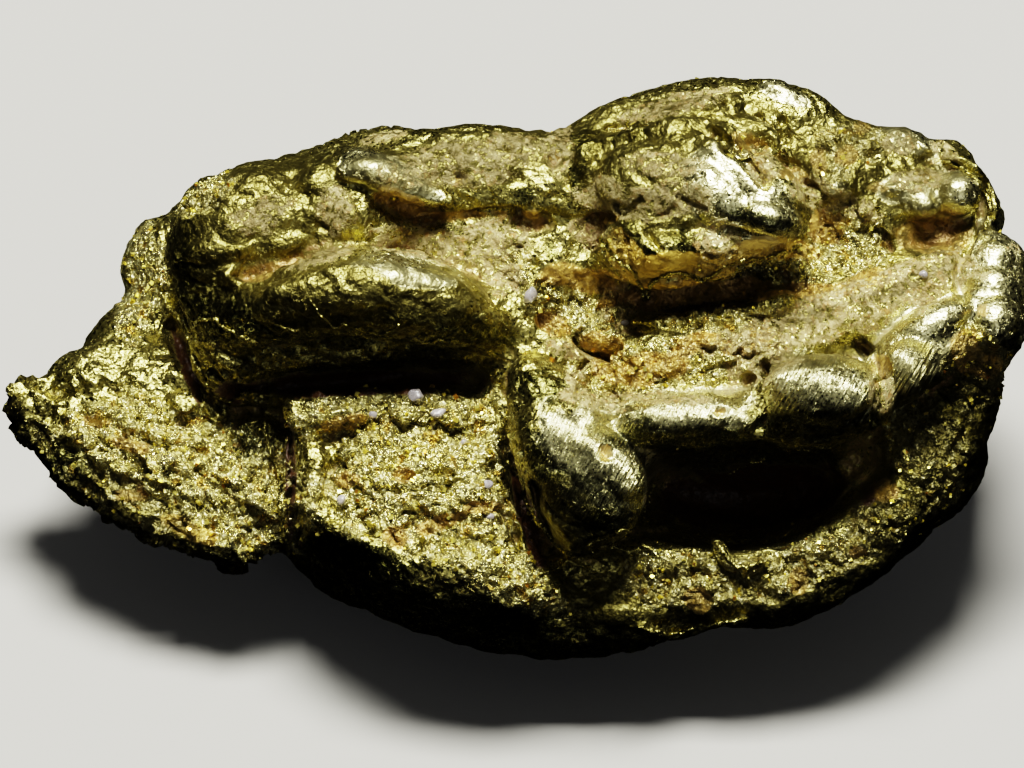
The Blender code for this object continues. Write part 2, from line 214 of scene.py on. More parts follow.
def on_face(tree, u, v):
    """The place on the face's front that is u across and v up."""
    return tree.ray_cast(Vector((u, v, IN_FRONT)), Vector((0.0, 0.0, -1.0)))[0]


def add_bead(pile, tree, u, v, radii, turn, proud):
    """Adds one rounded bead, sunk into the skin until only its top stands proud."""
    place = on_face(tree, u, v)
    if place is None:
        return
    place.z += proud - radii[2]
    shape = (
        Matrix.Translation(place)
        @ Matrix.Rotation(math.radians(turn), 4, "Z")
        @ Matrix.Diagonal((*radii, 1.0))
    )
    bmesh.ops.create_icosphere(pile, subdivisions=3, radius=1.0, matrix=shape)


def lay_on_face(obj, lumps, rolls):
    """Adds rounded lumps and rolls to the skin, ready to be fused into it."""
    tree = tree_of(obj)
    pile = bmesh.new()
    for u, v, radii, turn, proud in lumps:
        add_bead(pile, tree, u, v, radii, turn, proud)
    for path, proud in rolls:
        for u, v, radius in along(path, BEAD_STEP):
            add_bead(pile, tree, u, v, (radius,) * 3, 0.0, proud)
    pile.from_mesh(obj.data)
    pile.to_mesh(obj.data)
    pile.free()


def numbers(items, name, width):
    """One property of every item of a mesh, as rows."""
    flat = np.empty(len(items) * width, np.float32)
    items.foreach_get(name, flat)
    return flat.reshape(-1, width).astype(float)


def smooth_step(low, high, values):
    """0 at low and 1 at high, with soft ends."""
    t = np.clip((values - low) / (high - low), 0.0, 1.0)
    return t * t * (3 - 2 * t)


def ripple(points, size, seed, octaves=3):
    """Soft random height, about -1 to 1, whose bumps are the size given."""
    return np.array([noise.fractal(p, 1.0, 2.0, octaves) for p in (points / size + seed).tolist()])


def folds(points, size, seed):
    """Height of creases between rounded folds, 0 on a fold's back and -1 in a crease."""
    slant = points @ np.array([[0.8, 0.6, 0.0], [-0.6, 0.8, 0.0], [0.0, 0.0, 1.0]]) / [1.7, 1.0, 1.0]
    creases = [abs(noise.fractal(p, 1.0, 2.0, 2)) for p in (slant / size + seed).tolist()]
    return -smooth_step(0.22, 0.0, np.array(creases))


def crumbs(points, size, seed):
    """Height of a coat of rounded crumbs of the size given."""
    return np.array([0.5 - noise.voronoi(p)[0][0] for p in (points / size + seed).tolist()])


def crystal_faces(points, size, seed):
    """Height of a crust of crystals: each cell is one flat face, tipped its own way."""
    heights = []
    for p in (points / size + seed).tolist():
        middle = noise.voronoi(p)[1][0]
        tip = noise.cell_vector(middle * 97.0) - Vector((0.5, 0.5, 0.5))
        heights.append((Vector(p) - middle).dot(tip))
    return 2.0 * size * np.array(heights)


def faced(tree, points, normals):
    """1 for each point that the face's front shows, 0 for one behind it or under a lobe."""
    out = Vector((0.0, 0.0, 1.0))
    lifted = points + 0.06 * normals + [0, 0, 0.05]  # clear of its own skin
    shown = [tree.ray_cast(Vector(p), out)[0] is None for p in lifted.tolist()]
    return np.array(shown, float) * (normals[:, 2] > 0.0)


def hollowness(points, normals, edges, rounds):
    """How far each point lies below the skin around it, in millimetres."""
    a, b = edges.T
    count = np.bincount(a, minlength=len(points)) + np.bincount(b, minlength=len(points))
    even = points.copy()
    for _ in range(rounds):
        pulled = [
            np.bincount(a, even[b, k], len(points)) + np.bincount(b, even[a, k], len(points))
            for k in range(3)
        ]
        even = np.stack(pulled, axis=1) / count[:, None]
    return ((even - points) * normals).sum(axis=1)


def daubed(points, daubs, ragged, seed):
    """0 to 1: how far each point lies inside any of the daubs, whose rims are soft and ragged.
    A daub is (across, up, half width, half height, turn in degrees)."""
    waver = ragged * ripple(points, 0.45, seed, 4)
    best = np.zeros(len(points))
    for u, v, half_width, half_height, turn in daubs:
        c, s = math.cos(math.radians(turn)), math.sin(math.radians(turn))
        du, dv = points[:, 0] - u, points[:, 1] - v
        reach = np.hypot((c * du + s * dv) / half_width, (c * dv - s * du) / half_height)
        best = np.maximum(best, smooth_step(1.25, 0.75, reach + waver))
    return best


# Where the face keeps each finish, and where shade is painted on it, as daubs.
CLAY = [
    (-0.9, 2.2, 1.3, 0.36, -3), (-2.9, 1.98, 0.6, 0.12, 20), (-2.75, 2.7, 0.3, 0.45, 0),
    (-0.7, 3.45, 1.3, 0.4, 8), (-2.0, 3.85, 0.4, 0.12, 12), (-0.2, 2.3, 0.6, 0.3, 0),
    (1.15, 2.4, 0.35, 0.22, -20), (1.4, 2.95, 0.4, 0.33, 0), (2.3, 2.8, 0.8, 0.3, 5),
    (2.3, 3.4, 0.6, 0.2, 0), (-3.9, 2.6, 0.5, 0.3, 20), (0.75, 3.6, 0.25, 0.5, 0),
    (3.2, 2.2, 0.38, 0.32, 0), (2.6, 4.35, 0.9, 0.17, 14), (3.9, 3.35, 0.35, 0.25, -35),
    (4.7, 2.95, 0.55, 0.25, -25), (5.35, 2.75, 0.4, 0.2, -20), (6.3, 3.2, 0.5, 0.2, 5),
    (6.0, 3.75, 0.3, 0.2, 0), (6.75, 3.6, 0.3, 0.15, -40), (5.15, 1.15, 2.4, 0.42, 19),
    (6.5, 1.75, 0.8, 0.33, 15), (3.9, 0.3, 0.6, 0.28, 20), (0.85, 0.52, 0.42, 0.13, -15),
    (1.3, -0.28, 0.55, 0.14, -8), (2.3, -0.22, 0.8, 0.1, -2), (1.0, 0.05, 0.2, 0.25, 0),
    (5.72, -0.1, 0.2, 0.35, 0), (2.0, 2.75, 0.5, 0.2, 10), (-0.1, 1.6, 0.35, 0.3, 0),
]
CRYSTALS = [
    (-1.3, -1.0, 1.2, 0.8, 10), (-1.4, -1.9, 1.6, 0.75, -15), (-0.6, -2.6, 1.3, 0.35, -18),
    (-2.6, -0.5, 0.9, 0.4, 10), (2.6, 0.35, 1.7, 0.4, 8), (3.2, 1.0, 0.8, 0.25, 5),
    (3.7, 1.9, 0.8, 0.2, 8), (1.65, 2.1, 0.25, 0.4, 35), (1.6, 0.0, 0.7, 0.25, -10),
    (0.75, 1.25, 0.7, 0.35, -20), (1.3, 0.75, 0.4, 0.3, 0), (4.6, 1.75, 0.45, 0.35, 0),
    (5.2, 2.2, 0.6, 0.55, 0), (5.3, 3.75, 0.5, 0.3, 0), (4.95, 3.35, 0.3, 0.25, 0),
    (2.5, -3.0, 0.9, 0.45, -4), (4.3, -2.85, 1.1, 0.4, 14), (5.7, -2.2, 0.7, 0.45, 40),
    (6.5, -1.1, 0.6, 0.8, 20), (7.2, 0.2, 0.5, 0.7, 0), (0.2, -3.2, 0.8, 0.3, -25),
    (0.0, 1.9, 0.3, 0.3, 0), (-5.0, -1.4, 2.2, 1.0, -20), (-5.85, 1.6, 0.4, 0.9, -8),
    (-4.75, 2.95, 0.5, 0.22, 32),
]
STAINS = [
    (2.9, 1.4, 1.6, 0.22, 4), (1.0, 1.65, 0.7, 0.22, -10), (0.6, 0.95, 0.35, 0.2, -20),
    (1.3, 0.6, 0.4, 0.25, -10), (2.25, 0.3, 0.5, 0.22, 0), (2.85, 0.62, 0.45, 0.16, 10),
    (3.6, 0.55, 0.4, 0.12, 5), (3.85, 0.78, 0.25, 0.14, 0), (1.7, 0.15, 0.5, 0.18, -15),
    (-3.95, 1.72, 0.35, 0.13, 20), (-3.3, 1.95, 0.3, 0.1, 20), (-1.72, 2.82, 0.5, 0.2, -28),
    (-0.79, 3.2, 0.14, 0.12, 0), (-0.9, 2.6, 0.8, 0.1, 3), (0.3, 2.5, 0.3, 0.2, -10),
    (1.45, 2.6, 0.25, 0.12, 0), (0.65, 3.55, 0.1, 0.12, 0), (6.55, 2.35, 0.7, 0.3, -5),
    (3.7, 3.72, 0.3, 0.16, -20), (3.85, 3.3, 0.3, 0.14, -35), (4.35, 3.22, 0.3, 0.14, 0),
    (4.75, 3.5, 0.15, 0.25, 0), (5.45, 4.0, 0.14, 0.12, 0), (5.2, 3.55, 0.2, 0.15, 0),
    (5.7, 3.05, 0.2, 0.12, 0), (6.5, 3.25, 0.2, 0.08, 0), (4.9, 2.4, 0.3, 0.3, 0),
    (5.5, 1.6, 0.35, 0.16, 25), (4.8, 1.45, 0.6, 0.12, 0), (-2.6, -0.62, 0.4, 0.14, 10),
    (-2.6, -1.5, 0.22, 0.16, 0), (-1.7, -1.4, 0.2, 0.14, 0), (-1.2, -2.2, 0.4, 0.14, 20),
    (-1.8, -2.35, 0.25, 0.2, 0), (-0.4, -1.9, 0.3, 0.1, 0), (7.05, 0.5, 0.25, 0.35, 0),
    (7.4, 0.25, 0.25, 0.2, 0), (7.3, 1.15, 0.12, 0.1, 0), (5.72, 0.28, 0.16, 0.2, 0),
    (3.65, 0.07, 0.1, 0.08, 0), (4.08, 0.4, 0.1, 0.06, 0), (1.45, -1.05, 0.12, 0.12, 0),
    (3.2, -0.42, 0.12, 0.06, 0), (2.9, -3.35, 0.25, 0.2, -30), (4.45, -3.05, 0.15, 0.25, 0),
    (5.35, -2.6, 0.15, 0.1, 0), (5.8, -1.65, 0.25, 0.2, 0), (-6.0, -0.95, 0.35, 0.12, -15),
    (-5.9, -1.75, 0.3, 0.1, 0), (-6.5, -0.6, 0.25, 0.1, -10),
]
OCHRE = [
    (1.8, 1.95, 0.25, 0.5, 35), (2.5, 1.85, 0.7, 0.2, 0), (3.1, 1.8, 0.3, 0.2, 0),
    (4.0, 2.1, 0.5, 0.16, -5), (3.5, 2.0, 0.6, 0.15, 8), (2.15, 1.6, 0.2, 0.2, 0),
    (4.3, 2.1, 0.5, 0.15, -10), (-5.0, -2.3, 0.5, 0.15, -25),
]
# Tarnish, and painted shade: dark green-black painted on the undersides of the bars, the thumb and the lip,
# on the tongue's shaded side, along the lower edges and on the crown's shaded step, with a few small tarnish
# spots.
TARNISH_AND_SHADE = [
    (-2.8, 0.85, 1.7, 0.3, 3), (-4.3, 1.0, 0.7, 0.45, -20), (-5.1, 1.7, 0.25, 0.9, 0),
    (4.7, -0.65, 1.0, 0.22, 4), (3.9, 2.5, 0.6, 0.14, -18), (3.75, 2.5, 0.5, 0.12, -22),
    (4.2, 2.4, 0.4, 0.14, -5), (1.2, 3.75, 0.28, 0.2, 30), (1.05, 3.25, 0.16, 0.35, -15),
    (1.75, 3.85, 0.35, 0.12, 10), (1.8, 2.25, 0.22, 0.5, 20), (2.15, 1.9, 0.3, 0.2, -20),
    (2.75, 2.2, 0.4, 0.18, -15), (0.18, 2.9, 0.14, 0.16, 0), (0.62, 2.05, 0.14, 0.18, 0),
    (1.2, 2.1, 0.16, 0.1, 0), (0.9, 3.85, 0.16, 0.14, 0), (2.6, -0.85, 1.3, 0.18, 2),
    (4.5, -0.62, 0.9, 0.2, 2), (1.1, -1.75, 0.9, 0.4, -25), (0.4, -1.1, 0.2, 0.6, 25),
    (0.5, -0.05, 0.45, 0.3, -20), (1.9, -0.55, 0.4, 0.2, -30), (6.2, -0.35, 0.35, 0.25, 0),
    (6.9, -0.5, 0.8, 0.9, 10), (6.2, -1.9, 0.6, 0.8, -35), (-1.0, 0.85, 1.0, 0.3, -5),
    (-2.5, -2.65, 1.2, 0.25, -15), (5.6, -3.2, 1.0, 0.3, 25), (0.8, -3.7, 1.4, 0.25, 0),
    (-7.0, -1.35, 0.5, 0.35, -30), (-4.0, -0.85, 0.35, 0.3, 0),
]
FILM = [
    (-3.1, 1.62, 0.55, 0.2, 14), (4.6, 1.05, 0.45, 0.12, 18), (5.9, 1.45, 0.5, 0.12, 20),
    (6.6, 1.78, 0.4, 0.12, 15), (-3.9, 2.45, 1.5, 1.0, 25), (-2.3, 1.35, 1.9, 0.55, 0),
    (-0.6, 3.5, 2.0, 0.45, 8), (2.4, 4.0, 1.9, 0.5, 4), (2.0, 3.0, 0.9, 0.8, 0),
    (0.7, -2.0, 0.6, 0.6, -40), (3.4, -3.2, 2.9, 0.55, 6), (6.5, 2.35, 0.8, 0.35, 0),
    (6.3, -2.2, 1.0, 1.2, -30), (7.0, -0.5, 1.1, 1.2, 0), (-5.9, -2.0, 1.2, 0.4, -30),
    (5.6, 3.4, 1.6, 0.7, -15), (4.7, 0.4, 1.1, 0.16, 8),
]
# Painted shade: dark brown put in the caves under the lobes and along the deepest grooves, where the shade is
# blackest.
PAINTED_CAVE_SHADE = [
    (-2.4, 0.0, 1.8, 0.2, 2), (-4.4, -0.15, 0.25, 0.2, 0), (3.8, -1.75, 1.6, 0.5, 4),
    (3.0, 1.2, 0.8, 0.05, 4), (0.25, -2.1, 0.15, 0.8, 15), (-3.45, -1.5, 0.09, 0.9, 0),
    (-5.1, 0.3, 0.1, 0.6, 20),
]
STRIPED = [
    (4.7, -0.1, 1.0, 0.55, 0), (2.8, -0.5, 1.2, 0.4, 0), (1.2, -1.2, 0.95, 0.85, -45),
    (5.6, -0.1, 0.3, 0.5, 0), (6.1, 0.2, 0.4, 0.5, 0),
]
RUBBED = [
    (4.72, -0.05, 1.0, 0.62, 4), (2.65, -0.45, 1.25, 0.42, 7), (1.3, -1.15, 1.0, 0.8, -45),
    (6.4, 0.75, 1.0, 0.6, 28), (6.1, 0.1, 0.4, 0.6, 0), (7.5, 1.4, 0.6, 1.1, 0),
    (3.45, 2.85, 1.1, 0.6, -42), (-2.1, 3.3, 0.6, 0.3, -14), (-1.5, 3.05, 0.45, 0.22, -25),
    (-1.6, 1.75, 0.8, 0.24, -12), (6.9, 3.0, 0.45, 0.4, 0), (4.25, 4.5, 0.5, 0.16, -24),
    (5.95, 3.05, 0.35, 0.2, 0), (6.4, 2.8, 0.3, 0.2, 0), (5.0, 3.05, 0.22, 0.22, 0),
    (6.2, 3.8, 0.4, 0.2, -25),
]

# Each finish's daubs, how ragged their rims are, and the seed of that raggedness.
FINISHES = {
    "clay": (CLAY, 0.35, 3.0),
    "crystals": (CRYSTALS, 0.35, 11.0),
    "stain": (STAINS, 0.4, 23.0),
    "ochre": (OCHRE, 0.3, 31.0),
    "tarnish_and_shade": (TARNISH_AND_SHADE, 0.3, 37.0),
    "film": (FILM, 0.3, 53.0),
    "striped": (STRIPED, 0.2, 41.0),
    "rubbed": (RUBBED, 0.45, 43.0),
    "painted_cave_shade": (PAINTED_CAVE_SHADE, 0.3, 47.0),
}

# Cracks, seams and pits pressed into the face, as (path, half width, depth).
SEAMS = [
    ([(2.3, 3.02), (2.45, 2.96), (2.62, 3.1), (2.92, 3.25)], 0.04, 0.035),
    ([(2.28, 3.05), (2.15, 3.12), (2.05, 3.2)], 0.04, 0.03),
    ([(2.55, 2.88), (2.75, 2.78), (2.98, 2.7)], 0.04, 0.05),
    ([(2.22, 2.58), (2.4, 2.63), (2.52, 2.72)], 0.05, 0.08),
    ([(1.98, 2.82), (1.85, 2.7), (1.7, 2.65)], 0.05, 0.07),
    ([(1.6, 2.75), (1.63, 2.62)], 0.05, 0.1),
    ([(2.1, 2.35), (2.2, 2.15), (2.32, 2.05)], 0.05, 0.1),
    ([(1.48, 3.98), (1.65, 4.0), (1.82, 4.03)], 0.07, 0.22),
    ([(1.9, 4.04), (2.2, 4.06)], 0.05, 0.1),
    ([(0.82, 3.25), (0.88, 3.05)], 0.05, 0.1),
    ([(3.0, 3.98), (3.25, 3.82), (3.5, 3.6), (3.7, 3.35), (3.9, 3.1)], 0.09, 0.2),
    ([(3.45, 3.75), (3.7, 3.72), (3.9, 3.7)], 0.2, 0.3),
    ([(4.55, 3.12), (4.7, 3.05), (4.76, 2.96), (4.92, 2.88)], 0.06, 0.18),
    ([(3.25, 4.38), (3.35, 4.4)], 0.06, 0.12),
    ([(3.33, 4.47), (3.37, 4.47)], 0.05, 0.1),
    ([(3.84, 4.15), (3.86, 4.12)], 0.06, 0.12),
    ([(4.2, 4.12), (4.2, 4.05)], 0.05, 0.1),
    ([(6.3, 3.75), (6.5, 3.6), (6.66, 3.55)], 0.05, 0.1),
    ([(6.4, 3.5), (6.64, 3.47)], 0.05, 0.08),
    ([(6.72, 3.38), (6.95, 3.42), (7.2, 3.2), (7.33, 2.95), (7.36, 2.65), (7.25, 2.42)], 0.08, 0.18),
    ([(7.15, 2.35), (6.98, 2.0), (6.95, 1.6), (7.0, 1.3)], 0.08, 0.14),
    ([(5.72, 2.35), (5.86, 2.15)], 0.08, 0.2),
    ([(5.64, -0.18), (5.66, -0.36)], 0.05, 0.25),
    ([(5.66, 0.35), (5.74, 0.22)], 0.12, 0.3),
    ([(5.4, 0.6), (5.6, 0.35), (5.66, 0.0), (5.68, -0.35), (5.6, -0.8)], 0.1, 0.26),
    ([(4.04, 0.41), (4.12, 0.4)], 0.05, 0.1),
    ([(3.63, 0.07), (3.68, 0.08)], 0.08, 0.14),
    ([(3.8, 0.07), (3.83, 0.07)], 0.04, 0.08),
    ([(2.92, 0.14), (3.12, 0.24), (3.42, 0.3)], 0.05, 0.12),
    ([(3.55, 0.36), (3.8, 0.47), (4.05, 0.5)], 0.04, 0.08),
    ([(3.35, 0.55), (3.42, 0.7), (3.5, 0.88)], 0.05, 0.12),
    ([(1.15, 0.32), (1.05, 0.2), (1.12, 0.08), (1.04, -0.06), (0.98, -0.16)], 0.05, 0.14),
    ([(1.25, 0.62), (1.4, 0.55), (1.55, 0.58)], 0.13, 0.4),
    ([(0.95, 0.8), (1.08, 0.66), (1.2, 0.5), (1.45, 0.42)], 0.09, 0.3),
    ([(0.55, 0.98), (0.75, 0.86)], 0.13, 0.3),
    ([(3.82, -0.75), (3.8, -0.4), (3.8, -0.1), (3.9, 0.25)], 0.1, 0.26),
    ([(1.45, -1.02), (1.46, -1.08)], 0.1, 0.14),
    ([(3.19, -0.42), (3.24, -0.42)], 0.07, 0.1),
    ([(-1.22, -1.3), (-1.05, -1.36), (-0.92, -1.4)], 0.05, 0.16),
    ([(-1.15, -1.25), (-1.18, -1.36), (-1.25, -1.42)], 0.04, 0.14),
    ([(-1.72, -1.38), (-1.62, -1.42)], 0.1, 0.2),
    ([(-2.2, -1.1), (-2.0, -1.18), (-1.75, -1.2)], 0.06, 0.1),
    ([(-2.5, -1.56), (-2.4, -1.62)], 0.06, 0.12),
    ([(-1.7, -2.0), (-1.55, -1.98)], 0.04, 0.1),
    ([(-1.5, -1.12), (-1.3, -1.18), (-1.15, -1.1)], 0.05, 0.12),
    ([(-0.95, -1.95), (-0.8, -2.1), (-0.5, -2.15)], 0.05, 0.08),
    ([(-2.9, -0.82), (-2.65, -0.75), (-2.4, -0.82)], 0.07, 0.1),
    ([(-0.3, 1.36), (-0.22, 1.25), (-0.12, 1.2)], 0.05, 0.16),
    ([(-0.82, 3.2), (-0.76, 3.19)], 0.08, 0.12),
    ([(0.65, 3.54), (0.65, 3.46)], 0.1, 0.16),
    ([(-1.3, 3.55), (-1.1, 3.57), (-0.92, 3.58)], 0.05, 0.1),
    ([(-0.45, 3.8), (-0.2, 3.66), (0.1, 3.65)], 0.05, 0.1),
    ([(0.08, 3.2), (0.12, 3.2)], 0.07, 0.1),
    ([(0.0, 2.72), (0.06, 2.62), (0.1, 2.55)], 0.05, 0.12),
    ([(0.1, 2.5), (0.3, 2.45), (0.5, 2.5)], 0.14, 0.16),
    ([(1.25, 2.55), (1.45, 2.6), (1.55, 2.55)], 0.08, 0.14),
    ([(0.33, 1.88), (0.33, 1.86)], 0.06, 0.1),
    ([(-2.0, 2.8), (-1.7, 2.68), (-1.25, 2.62)], 0.16, 0.16),
    ([(-1.5, 2.52), (-0.9, 2.56), (-0.4, 2.66), (0.1, 2.66)], 0.08, 0.08),
    ([(-3.0, 2.46), (-2.9, 2.4)], 0.06, 0.08),
    ([(-2.42, 2.86), (-2.38, 2.84)], 0.05, 0.08),
    ([(-4.2, 2.97), (-4.05, 2.94)], 0.05, 0.08),
    ([(-4.25, 1.68), (-4.0, 1.75), (-3.7, 1.82)], 0.1, 0.16),
    ([(-3.6, 1.88), (-3.3, 1.98), (-3.1, 2.0)], 0.07, 0.1),
    ([(2.0, 1.55), (2.3, 1.6), (2.6, 1.6)], 0.08, 0.14),
    ([(3.3, 2.38), (3.7, 2.28), (4.2, 2.2), (4.5, 2.25)], 0.07, 0.16),
    ([(4.58, 2.3), (4.66, 2.1), (4.72, 1.9)], 0.05, 0.1),
    ([(-7.0, -1.05), (-6.7, -1.1), (-6.5, -1.35)], 0.1, 0.16),
]

# Hollows under the lobes, pushed straight back into the face, as (path, half width, depth).
HOLLOWS = [
    ([(-4.2, -0.1), (-3.5, -0.02), (-2.8, 0.05), (-1.9, 0.1), (-1.1, 0.12), (-0.6, 0.05)], 0.2, 0.55),
    ([(-4.4, -0.2), (-4.25, -0.45)], 0.14, 0.22),
    ([(2.4, -1.55), (3.2, -1.8), (4.0, -1.85), (4.8, -1.65), (5.3, -1.25)], 0.5, 0.9),
    ([(0.35, -1.6), (0.45, -2.1), (0.7, -2.6)], 0.12, 0.3),
    ([(-0.3, -1.3), (-0.1, -1.9), (0.1, -2.5)], 0.12, 0.25),
    ([(-3.45, -0.6), (-3.48, -1.2), (-3.45, -1.9), (-3.3, -2.5)], 0.08, 0.26),
    ([(-5.35, 0.9), (-5.05, 0.3), (-4.8, -0.2)], 0.12, 0.35),
    ([(1.4, -2.5), (2.2, -2.3), (2.6, -2.2)], 0.16, 0.3),
]

# Thin lips and small ridges raised on the face, as (path, half width, height).
RIDGES = [
    ([(-3.2, -0.45), (-2.4, -0.4), (-1.5, -0.4), (-0.8, -0.5)], 0.32, 0.26),
    ([(-2.65, -1.12), (-2.35, -0.98), (-2.1, -0.88), (-1.95, -0.78)], 0.12, 0.12),
    ([(-2.95, -1.25), (-3.08, -1.6), (-3.0, -1.95), (-2.75, -2.2), (-2.3, -2.42)], 0.14, 0.12),
    ([(3.18, -2.5), (3.36, -2.76), (3.6, -2.85), (3.85, -2.76)], 0.1, 0.14),
    ([(6.9, 3.5), (7.2, 3.32), (7.42, 3.0), (7.5, 2.65)], 0.07, 0.12),
    ([(3.02, 4.06), (3.3, 3.9), (3.56, 3.68), (3.78, 3.42)], 0.05, 0.06),
    ([(2.0, -3.76), (2.4, -3.9), (2.7, -3.86), (3.0, -3.74), (3.6, -3.64)], 0.07, 0.1),
]


def press(tree, near, points, directions, strokes):
    """Moves the points under each stroke along the directions given, less towards its edges."""
    for path, half_width, depth in strokes:
        reach = {}
        for spot in along(path, 0.4 * half_width):
            place = on_face(tree, spot[0], spot[1])
            if place is None:
                continue
            for _, index, distance in near.find_range(place, STROKE_EDGE * half_width):
                reach[index] = min(distance, reach.get(index, distance))
        index = np.fromiter(reach.keys(), int)
        away = np.fromiter(reach.values(), float) / half_width
        profile = smooth_step(STROKE_EDGE, 0.2, away)
        points[index] += depth * profile[:, None] * directions[index]


def relief(points, shown):
    """The height of hammering, crusts and grain over the rounded skin, in millimetres.
    Each term is a height times a pattern, which is given its size and its seed."""
    clay = shown * daubed(points, *FINISHES["clay"])
    crystals = daubed(points, *FINISHES["crystals"])
    wild = smooth_step(0.0, 0.35, ripple(points, 2.2, 51.0))
    crystals = np.where(points[:, 2] > DAUBED_DOWN_TO, crystals, wild)
    rubbed = shown * daubed(points, *FINISHES["rubbed"])
    bare = 1.0 - np.maximum(clay, crystals)
    tongue = smooth_step(-3.4, -4.0, points[:, 0]) * smooth_step(0.6, 0.0, points[:, 1])
    height = 0.03 * ripple(points, 0.9, 0.0)
    height += (bare + 0.5 * clay) * 0.03 * folds(points, 0.5, 19.0)
    height += clay * 0.03 * crumbs(points, 0.26, 29.0)
    height -= 0.03 * np.abs(ripple(points, 0.5, 5.0, 2)) * (1.0 - 0.5 * clay)
    height += 0.016 * ripple(points, 0.16, 7.0)
    height += clay * 0.03 * ripple(points, 0.28, 17.0)
    height += crystals * (0.07 * ripple(points, 0.26, 61.0) + 0.11 * folds(points, 0.28, 67.0))
    height += crystals * 0.25 * crystal_faces(points, 0.3, 2.0)
    height += (0.15 * crystals + 0.08 * clay) * 0.45 * crystal_faces(points, 0.11, 9.0)
    height += bare * 0.006 * ripple(points, 0.07, 13.0, 2)
    flakes = points @ np.array([[0.82, 0.57, 0.0], [-0.57, 0.82, 0.0], [0.0, 0.0, 1.0]]) / [2.2, 1.0, 1.0]
    height += tongue * 0.7 * crystal_faces(flakes, 0.28, 4.0)
    return height * (1.0 - 0.6 * rubbed) + rubbed * 0.01 * ripple(points, 0.12, 71.0, 2)


def thin_out(obj, removed, where=None):
    """Merges away the number of triangles given, anywhere or only at the vertices given."""
    obj.data.calc_loop_triangles()
    decimate = obj.modifiers.new("thin out", "DECIMATE")
    decimate.ratio = 1.0 - removed / len(obj.data.loop_triangles)
    decimate.use_collapse_triangulate = True
    if where is not None:
        obj.vertex_groups.new(name="where").add(where, 1.0, "REPLACE")
        decimate.vertex_group = "where"
    bake(obj)
    obj.vertex_groups.clear()
    obj.data.calc_loop_triangles()


def store(mesh, name, values):
    """Keeps one number for each of the mesh's points, for its material to read."""
    attribute = mesh.attributes.new(name, "FLOAT", "POINT")
    attribute.data.foreach_set("value", values.astype(np.float32))


nugget = plain_skin(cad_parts["nugget"])
lay_on_face(nugget, FINE_LUMPS, FINE_ROLLS)
fuse(nugget, SKIN_VOXEL, 5)
points = numbers(nugget.data.vertices, "co", 3)
normals = numbers(nugget.data.vertex_normals, "vector", 3)
tree = tree_of(nugget)
near = KDTree(len(points))
for i, place in enumerate(points.tolist()):
    near.insert(place, i)
near.balance()
shown = faced(tree, points, normals)
height = relief(points, shown)
press(tree, near, points, np.tile([0.0, 0.0, -1.0], (len(points), 1)), HOLLOWS)
press(tree, near, points, -normals, SEAMS)
press(tree, near, points, normals, RIDGES)
points += height[:, None] * normals
nugget.data.vertices.foreach_set("co", points.astype(np.float32).ravel())
nugget.data.update()
nugget.data.calc_loop_triangles()
behind = np.flatnonzero(shown == 0.0)
behind_triangles = len(nugget.data.loop_triangles) * len(behind) / len(points)
thin_out(nugget, behind_triangles - BACK_TRIANGLES, behind.tolist())
thin_out(nugget, len(nugget.data.loop_triangles) - MOST_TRIANGLES)

points = numbers(nugget.data.vertices, "co", 3)
normals = numbers(nugget.data.vertex_normals, "vector", 3)
edges = np.empty(len(nugget.data.edges) * 2, np.int32)
nugget.data.edges.foreach_get("vertices", edges)
edges = edges.reshape(-1, 2)
shown = faced(tree_of(nugget), points, normals)
low = smooth_step(0.02, 0.16, hollowness(points, normals, edges, EVENING_ROUNDS))
wild = ripple(points, 1.6, 51.0)
hidden = 1.0 - shown  # no daub reaches there, so soft random patterns place the finishes
masks = {name: shown * daubed(points, *finish) for name, finish in FINISHES.items()}
masks["clay"] = np.maximum(masks["clay"], hidden * low * smooth_step(-0.2, 0.1, wild))
masks["crystals"] = np.maximum(masks["crystals"], hidden * smooth_step(0.0, 0.3, wild))
masks["stain"] = np.maximum(masks["stain"], hidden * low * smooth_step(0.1, -0.2, wild))
masks["low"] = low
for name, values in masks.items():
    store(nugget.data, name, values)

nugget.data.polygons.foreach_set("use_smooth", np.ones(len(nugget.data.polygons), bool))
nugget.data.transform(face_to_world)
worn = numbers(nugget.data.vertices, "co", 3)  # flat where it rests
worn[:, 2] = np.maximum(worn[:, 2], 0.0)
nugget.data.vertices.foreach_set("co", worn.astype(np.float32).ravel())
nugget.data.update()
nugget.name = "gold_nugget"


def linear(colour):
    """An sRGB hex colour as linear red, green, blue and 1."""
    parts = [int(colour[i : i + 2], 16) / 255 for i in (1, 3, 5)]
    return (*(c / 12.92 if c <= 0.04045 else ((c + 0.055) / 1.055) ** 2.4 for c in parts), 1.0)


def node(tree, kind, inputs=(), **settings):
    """Adds a shader node with its settings. Each of its inputs, which are by name or in order, is
    a value, a socket that is linked, or a node whose first output is linked."""
    added = tree.nodes.new("ShaderNode" + kind)
    for name, value in settings.items():
        setattr(added, name, value)
    for name, value in inputs.items() if isinstance(inputs, dict) else enumerate(inputs):
        if isinstance(value, bpy.types.Node):
            value = value.outputs[0]
        if isinstance(value, bpy.types.NodeSocket):
            tree.links.new(value, added.inputs[name])
        else:
            added.inputs[name].default_value = value
    return added


def blank(name):
    """A new material with no finish yet, its node tree, and the socket that gives a point's place."""
    material = bpy.data.materials.new(name)
    material.use_nodes = True
    material.node_tree.nodes.clear()
    return material, material.node_tree, node(material.node_tree, "TexCoord").outputs["Object"]


